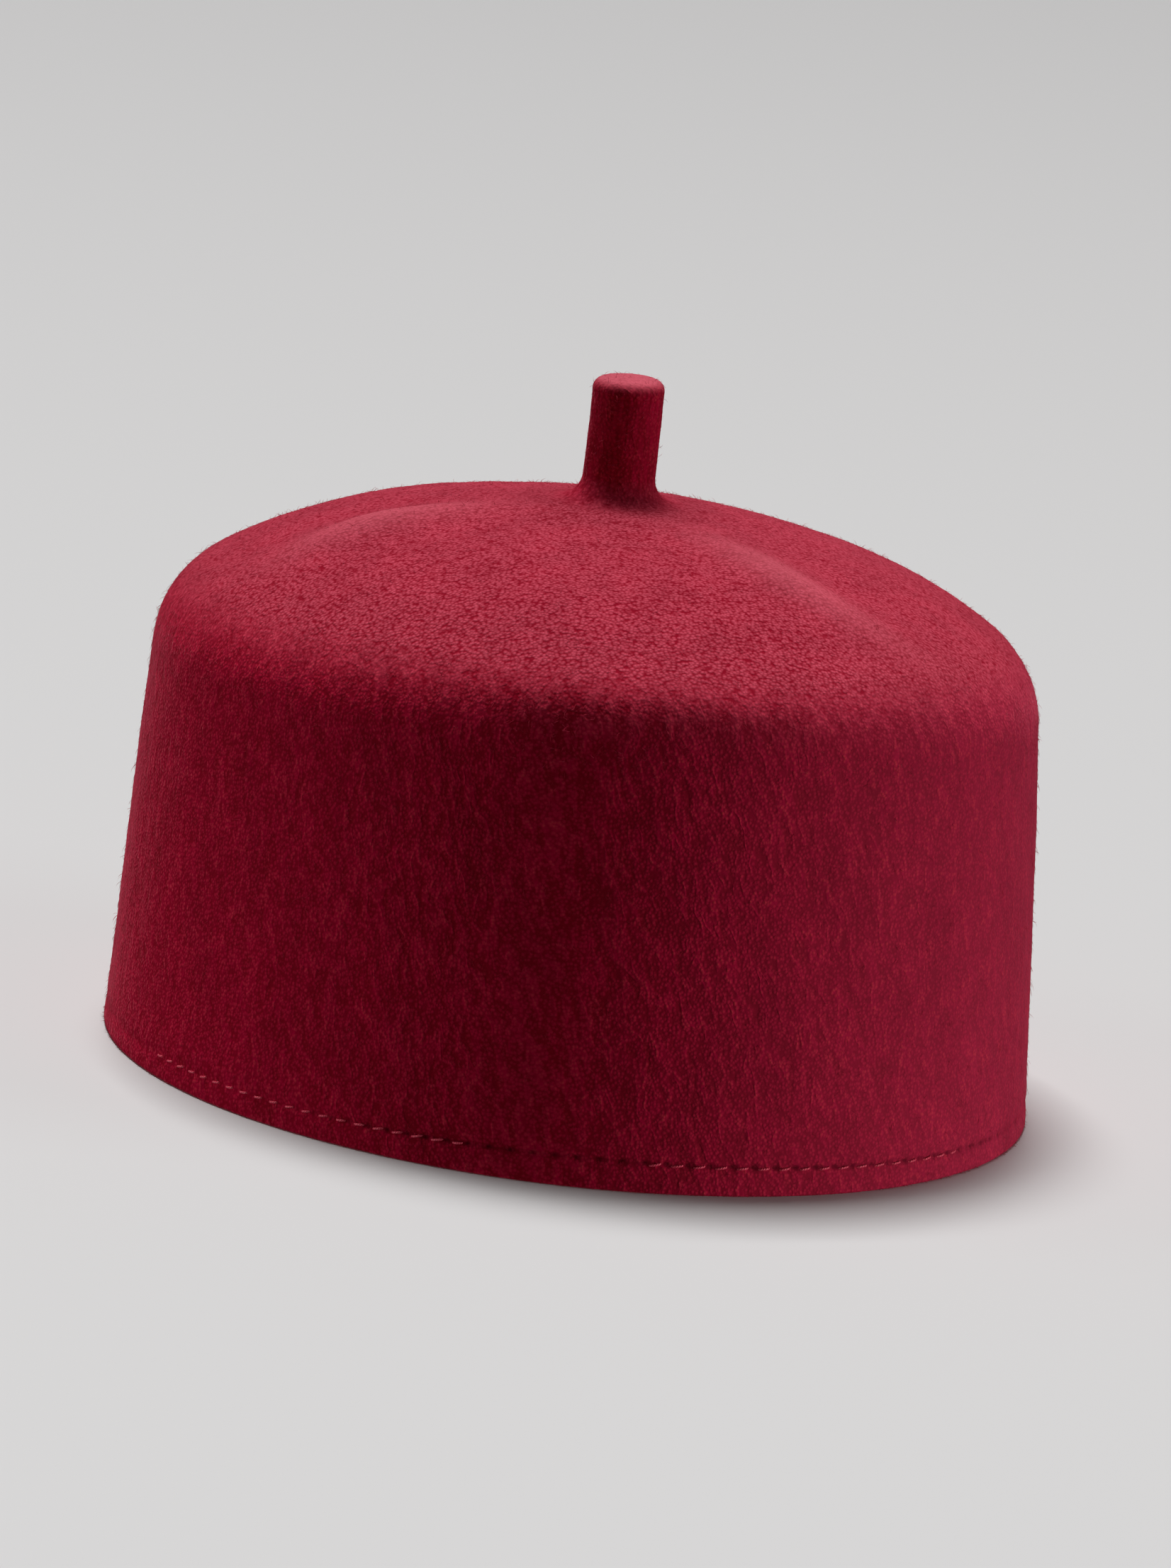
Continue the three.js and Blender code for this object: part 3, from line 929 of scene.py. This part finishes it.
def thread_material(finish):
    """Spun polyester sewing thread: plies twisted round each other, with a soft shine."""
    material, tree = new_material("Spun sewing thread")
    uv = add(tree, "UVMap", {}, "UV", uv_map="UVMap")
    plies = {"Vector": uv, "Scale": 1.1, "Distortion": 0.4, "Detail": 1}
    plies = add(tree, "TexWave", plies, "Fac", bands_direction="DIAGONAL")
    tone = {"Factor": plies, "A": (*finish.thread_deep, 1), "B": (*finish.thread, 1)}
    surface = {
        "Base Color": add(tree, "Mix", tone, "Result", data_type="RGBA"),
        "Roughness": 0.45,
        "Specular IOR Level": 0.5,
        "Sheen Weight": 0.9,
        "Sheen Roughness": 0.4,
        "Sheen Tint": (*linear("#ff5474"), 1),
        "Normal": add(tree, "Bump", {"Strength": 0.7, "Distance": 0.1 * MM, "Height": plies}),
    }
    finish_material(tree, add(tree, "BsdfPrincipled", surface))
    return material


def floor_material(finish):
    """Matt seamless studio paper, painted a little darker further back from the studio's front: a painted
    falloff of the lights.
    """
    material, tree = new_material("Matt studio paper")
    coords = add(tree, "TexCoord", {}, "Object")
    ahead = {0: coords, 1: direction(STUDIO_FRONT, 0)}
    ahead = add(tree, "VectorMath", ahead, "Value", operation="DOT_PRODUCT")
    ahead = add(tree, "MapRange", {"Value": ahead, "From Min": -1.6, "From Max": 0.5})
    paper = {"Factor": ahead, "A": (*finish.floor_far_shaded, 1), "B": (*finish.floor, 1)}
    paper = add(tree, "Mix", paper, "Result", data_type="RGBA")
    surface = {"Base Color": paper, "Roughness": 0.9, "Specular IOR Level": 0.1}
    finish_material(tree, add(tree, "BsdfPrincipled", surface))
    return material


# ---------------------------------------------------------------------------------------------------
# Pieces


def hem_place(sizes, seam, stitches, height, inner):
    """A point on the hem's face, the direction along the seam and the direction out of the felt."""
    around = seam.angle_at(stitches)
    inset = (height - sizes.hem_edge) * math.tan(sizes.wall_lean) + inner * sizes.hem
    half_width, half_length = RIM_HALF_WIDTH - inset, RIM_HALF_LENGTH - inset
    place = np.stack([half_width * np.sin(around), -half_length * np.cos(around), height], -1)
    along = np.stack([half_width * np.cos(around), half_length * np.sin(around), 0 * around], -1)
    along /= np.linalg.norm(along, axis=-1, keepdims=True)
    return place, along, np.cross(along, (0, 0, -1 if inner else 1))


def stitch_mesh(sizes, seam, inner):
    """Every stitch on one face of the hem, as closed tubes joined in one mesh.

    Each stitch is an arch over the felt between two needle holes: its height falls with the fourth
    power of the distance from its middle, so that both ends dive into the felt.
    """
    rings, sides = 7, 8
    t = np.linspace(-1, 1, rings)
    number = np.arange(seam.count)
    rng = np.random.default_rng(STITCH_SEED)
    slant = np.radians(rng.normal(*STITCH_SLANT, seam.count))[:, None]
    half = (sizes.stitch_length / 2 + STITCH_BURIED) * rng.normal(1, STITCH_SPREAD, seam.count)[:, None]
    stitches = number[:, None] + 0.5 + half * t / seam.pitch
    height = seam.height_at(seam.angle_at(stitches)) + half * t * np.tan(slant)
    base, along, out = hem_place(sizes, seam, stitches, height, inner)
    drawn_in = sum(covered(seam.angle_at(number + 0.5), *stretch) for stretch in COVERED)[:, None]
    rise = STITCH_RISE - STITCH_DIVE * (np.abs(t) ** 4 + drawn_in * (not inner))
    turn = np.linspace(0, 2 * math.pi, sides, endpoint=False)
    wide = np.cross(out, along)[..., None, :] * np.cos(turn)[:, None]
    thick = out[..., None, :] * STITCH_FLATNESS * np.sin(turn)[:, None]
    radius = sizes.thread / 2 * (1 - STITCH_TAPER * t**4)
    middle = base + out * rise[..., None]
    vertices = middle[..., None, :] + radius[None, :, None, None] * (wide + thick)
    index = np.arange(seam.count * rings * sides).reshape(seam.count, rings, sides)
    a, b = index[:, :-1], index[:, 1:]
    quads = np.stack([a, b, np.roll(b, -1, 2), np.roll(a, -1, 2)], -1).reshape(-1, 4)
    caps = np.concatenate([index[:, 0], index[:, -1, ::-1]])
    if inner:
        quads, caps = quads[:, ::-1], caps[:, ::-1]
    u = (half * t / THREAD_TURN)[..., None] + 0 * turn
    v = turn / (2 * math.pi) + 0 * u
    uv = np.stack([u, v], -1).reshape(-1, 2)
    corners = np.concatenate([quads.ravel(), caps.ravel()])
    return vertices.reshape(-1, 3), [quads, caps], uv[corners]


def triangles(faces):
    """Quads and triangles as triangles."""
    halves = [np.concatenate([f[:, :3], f[:, [0, 2, 3]]]) for f in faces if f.shape[1] == 4]
    return np.concatenate([f for f in faces if f.shape[1] == 3] + halves)


def fibre_mesh(places, corners, count, nap, rng):
    """Loose fibres on a surface, as closed tapering strands of three sides joined in one mesh.

    Roots are spread evenly by area. A fibre leaves its root along the lay, turned by a random angle,
    rises quickly and levels off, and curls sideways with the square of the distance.
    """
    rings, sides = nap["rings"], 3
    a, b, c = (places[corners[:, k]] for k in range(3))
    normal = np.cross(b - a, c - a)
    area = np.linalg.norm(normal, axis=1)
    pick = rng.choice(len(area), count, p=area / area.sum())
    s, t = rng.random((2, count, 1))
    flip = s + t > 1
    s, t = np.where(flip, 1 - s, s), np.where(flip, 1 - t, t)
    root = a[pick] + s * (b - a)[pick] + t * (c - a)[pick]
    out = normal[pick] / area[pick, None]
    along = rng.normal(size=root.shape) * nap["stray"] - (0, 0, nap["downwards"])
    along -= out * (along * out).sum(1, keepdims=True)
    along /= np.linalg.norm(along, axis=1, keepdims=True)
    side = np.cross(out, along)
    reach = rng.uniform(*nap["lengths"], (count, 1, 1)) * MM
    least, most = FIBRE_RISE
    rise = nap["proud"] * rng.exponential(1, (count, 1, 1)) ** FIBRE_RISE_POWER + least
    rise = np.minimum(rise, most) * MM
    curl = rng.normal(0, nap["curl"], (count, 1, 1)) * reach
    step = np.linspace(0, 1, rings + 1)[None, :, None]
    path = root[:, None] + along[:, None] * reach * step + side[:, None] * curl * step**2
    path += out[:, None] * (rise * (1 - (1 - step) ** 2) - FIBRE_SUNK * (1 - step))
    path[..., 2] = np.maximum(path[..., 2], FIBRE_WIDTH)
    tangent = np.gradient(path, axis=1)
    tangent /= np.linalg.norm(tangent, axis=2, keepdims=True)
    across = np.cross(tangent, out[:, None])
    across /= np.linalg.norm(across, axis=2, keepdims=True) + 1e-12
    raised = np.cross(across, tangent)
    turn = np.linspace(0, 2 * math.pi, sides, endpoint=False)[:, None]
    radius = FIBRE_WIDTH / 2 * rng.uniform(*FIBRE_WIDTHS, (count, 1, 1, 1))
    radius = radius * (1 - FIBRE_TAPER * step[:, :-1, :, None])
    shell = across[:, :-1, None] * np.cos(turn) + raised[:, :-1, None] * np.sin(turn)
    shell = path[:, :-1, None] + radius * shell
    vertices = np.concatenate([shell.reshape(count, -1, 3), path[:, -1:]], 1)
    tip = rings * sides
    first = (np.arange(count) * (tip + 1))[:, None, None]
    index = np.arange(tip).reshape(rings, sides)
    low, high = index[:-1], index[1:]
    quads = np.stack([low, np.roll(low, -1, 1), np.roll(high, -1, 1), high], -1).reshape(-1, 4)
    fan = np.stack([index[-1], np.roll(index[-1], -1), np.full(sides, tip)], -1)
    tris = np.concatenate([fan, index[0][::-1][None]])
    return vertices.reshape(-1, 3), [(first + quads).reshape(-1, 4), (first + tris).reshape(-1, 3)]


def direction(azimuth, elevation):
    """The direction to a place seen from the cap, azimuth from the brow towards +X."""
    level = math.cos(elevation)
    return Vector((math.sin(azimuth) * level, -math.cos(azimuth) * level, math.sin(elevation)))


class IGBOCAP_OT_stage(bpy.types.Operator):
    """Set the camera, the studio lights and the pale floor round the cap"""

    bl_idname = "igbo_cap.stage"
    bl_label = "Set the stage"

    def execute(self, context):
        scene = context.scene
        back = direction(STUDIO_FRONT, CAMERA_RISE)
        right = Vector((math.cos(STUDIO_FRONT), math.sin(STUDIO_FRONT), 0))
        up = back.cross(right)
        held_right = right * math.cos(CAMERA_TILT) + up * math.sin(CAMERA_TILT)
        held_up = up * math.cos(CAMERA_TILT) - right * math.sin(CAMERA_TILT)
        turned = Matrix((held_right, held_up, back)).transposed().to_4x4()
        aim = Vector((0, 0, CAMERA_AIM * CAP_HEIGHT))
        camera = bpy.data.objects.new("Camera", bpy.data.cameras.new("Camera"))
        camera.data.lens = CAMERA_LENS
        camera.data.clip_start, camera.data.clip_end = CAMERA_CLIP
        camera.matrix_world = Matrix.Translation(aim + back * CAMERA_DISTANCE) @ turned
        scene.collection.objects.link(camera)
        scene.camera = camera
        scene.view_settings.view_transform = "Standard"

        low, high = -FLOOR_HALF_SIDE, FLOOR_HALF_SIDE
        corners = np.array([(low, low, 0), (high, low, 0), (high, high, 0), (low, high, 0)])
        square = [np.array([[0, 1, 2, 3]])]
        floor = new_object("studio_floor", corners - (0, 0, FLOOR_DROP), square, smooth=False)
        floor.data.materials.append(floor_material(scene.igbo_cap_finish))
        floor.visible_diffuse = False
        floor.visible_shadow = False

        for softbox in SOFTBOXES:
            lamp = bpy.data.lights.new(softbox["name"], "AREA")
            lamp.size = softbox["size"]
            lamp.energy = softbox["power"]
            turn, rise = STUDIO_FRONT + math.radians(softbox["turn"]), math.radians(softbox["rise"])
            place = aim + softbox["distance"] * direction(turn, rise)
            holder = bpy.data.objects.new(softbox["name"], lamp)
            turned = (aim - place).to_track_quat("-Z", "Y").to_matrix().to_4x4()
            holder.matrix_world = Matrix.Translation(place) @ turned
            holder.visible_camera = False
            scene.collection.objects.link(holder)

        # More light comes back from the studio's pale floor than from its walls and ceiling
        world = bpy.data.worlds.new("Studio")
        world.use_nodes = True
        tree = world.node_tree
        background = tree.nodes["Background"]
        towards = add(tree, "TexCoord", {}, "Generated")
        towards = add(tree, "SeparateXYZ", {"Vector": towards}, "Z")
        strength = {
            "Value": towards,
            "From Min": -0.3,
            "From Max": 0.3,
            "To Min": LIGHT_FROM_BELOW,
            "To Max": LIGHT_FROM_ABOVE,
        }
        background.inputs["Color"].default_value = (*linear("#e4e3e2"), 1)
        tree.links.new(add(tree, "MapRange", strength), background.inputs["Strength"])
        scene.world = world
        return {"FINISHED"}


class IGBOCAP_OT_felt(bpy.types.Operator):
    """Mould the crown, wall, stalk and turned-in hem from one piece of felt"""

    bl_idname = "igbo_cap.felt"
    bl_label = "Mould the felt"

    def execute(self, context):
        sizes = context.scene.igbo_cap_sizes
        mesh = felt_mesh(sizes)
        felt = new_object("felt_body", mesh["places"], mesh["faces"])
        for name, values in mesh["shares"].items():
            share = felt.data.attributes.new(name, "FLOAT", "POINT")
            share.data.foreach_set("value", values.astype(np.float32))
        finish_piece(felt, felt_material(context.scene.igbo_cap_finish))
        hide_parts(CAD_NODE)
        return {"FINISHED"}


class IGBOCAP_OT_hem_stitches(bpy.types.Operator):
    """Sew the line of stitches round the hem, on the outside and on the inside"""

    bl_idname = "igbo_cap.hem_stitches"
    bl_label = "Sew the hem"

    def execute(self, context):
        sizes = context.scene.igbo_cap_sizes
        thread = thread_material(context.scene.igbo_cap_finish)
        seam = Seam(sizes)
        for name, inner in (("hem_stitches", False), ("hem_stitches_inside", True)):
            vertices, faces, uv = stitch_mesh(sizes, seam, inner)
            stitches = new_object(name, vertices, faces)
            set_uv(stitches, uv)
            finish_piece(stitches, thread)
        return {"FINISHED"}


class IGBOCAP_OT_nap(bpy.types.Operator):
    """Raise loose fibres on the felt's outside"""

    bl_idname = "igbo_cap.nap"
    bl_label = "Raise the nap"

    def execute(self, context):
        finish = context.scene.igbo_cap_finish
        mesh = felt_mesh(context.scene.igbo_cap_sizes)
        corners = triangles(mesh["faces"])
        names = mesh["names"][corners[:, 0]]
        rng = np.random.default_rng(FIBRE_SEED)
        naps = (
            ("wall", finish.wall_fibres, finish.wall_fibre),
            ("hem", finish.hem_fibres, finish.wall_fibre),
            ("crown", finish.crown_fibres, finish.crown_fibre),
        )
        for name, count, strand in naps:
            nap = NAPS[name]
            chosen = corners[np.isin(names, nap["stretches"])]
            vertices, faces = fibre_mesh(mesh["places"], chosen, count, nap, rng)
            fibres = fibre_material("Loose wool fibre of the " + name, strand)
            finish_piece(new_object(name + "_nap", vertices, faces), fibres)
        return {"FINISHED"}


class IGBOCAP_PT_panel(bpy.types.Panel):
    """Igbo cap"""

    bl_idname = "IGBOCAP_PT_panel"
    bl_label = "Igbo Cap"
    bl_space_type = "VIEW_3D"
    bl_region_type = "UI"
    bl_category = "Igbo Cap"

    def draw(self, context):
        layout = self.layout
        for operator in OPERATORS:
            layout.operator(operator.bl_idname)
        for group in (context.scene.igbo_cap_sizes, context.scene.igbo_cap_finish):
            box = layout.box()
            for name in group.__annotations__:
                box.prop(group, name)


OPERATORS = (IGBOCAP_OT_stage, IGBOCAP_OT_felt, IGBOCAP_OT_hem_stitches, IGBOCAP_OT_nap)
CLASSES = (IGBOCAP_PG_sizes, IGBOCAP_PG_finish, *OPERATORS, IGBOCAP_PT_panel)


def register():
    """Registers the classes and hangs the settings on the scene."""
    for cls in CLASSES:
        bpy.utils.register_class(cls)
    bpy.types.Scene.igbo_cap_sizes = bpy.props.PointerProperty(type=IGBOCAP_PG_sizes)
    bpy.types.Scene.igbo_cap_finish = bpy.props.PointerProperty(type=IGBOCAP_PG_finish)


def unregister():
    """Takes everything off again."""
    del bpy.types.Scene.igbo_cap_sizes
    del bpy.types.Scene.igbo_cap_finish
    for cls in reversed(CLASSES):
        bpy.utils.unregister_class(cls)


def main():
    """Makes the stage and every piece."""
    register()
    bpy.ops.igbo_cap.stage()
    bpy.ops.igbo_cap.felt()
    bpy.ops.igbo_cap.hem_stitches()
    bpy.ops.igbo_cap.nap()
    bpy.context.view_layer.update()


if __name__ == "__main__":
    main()
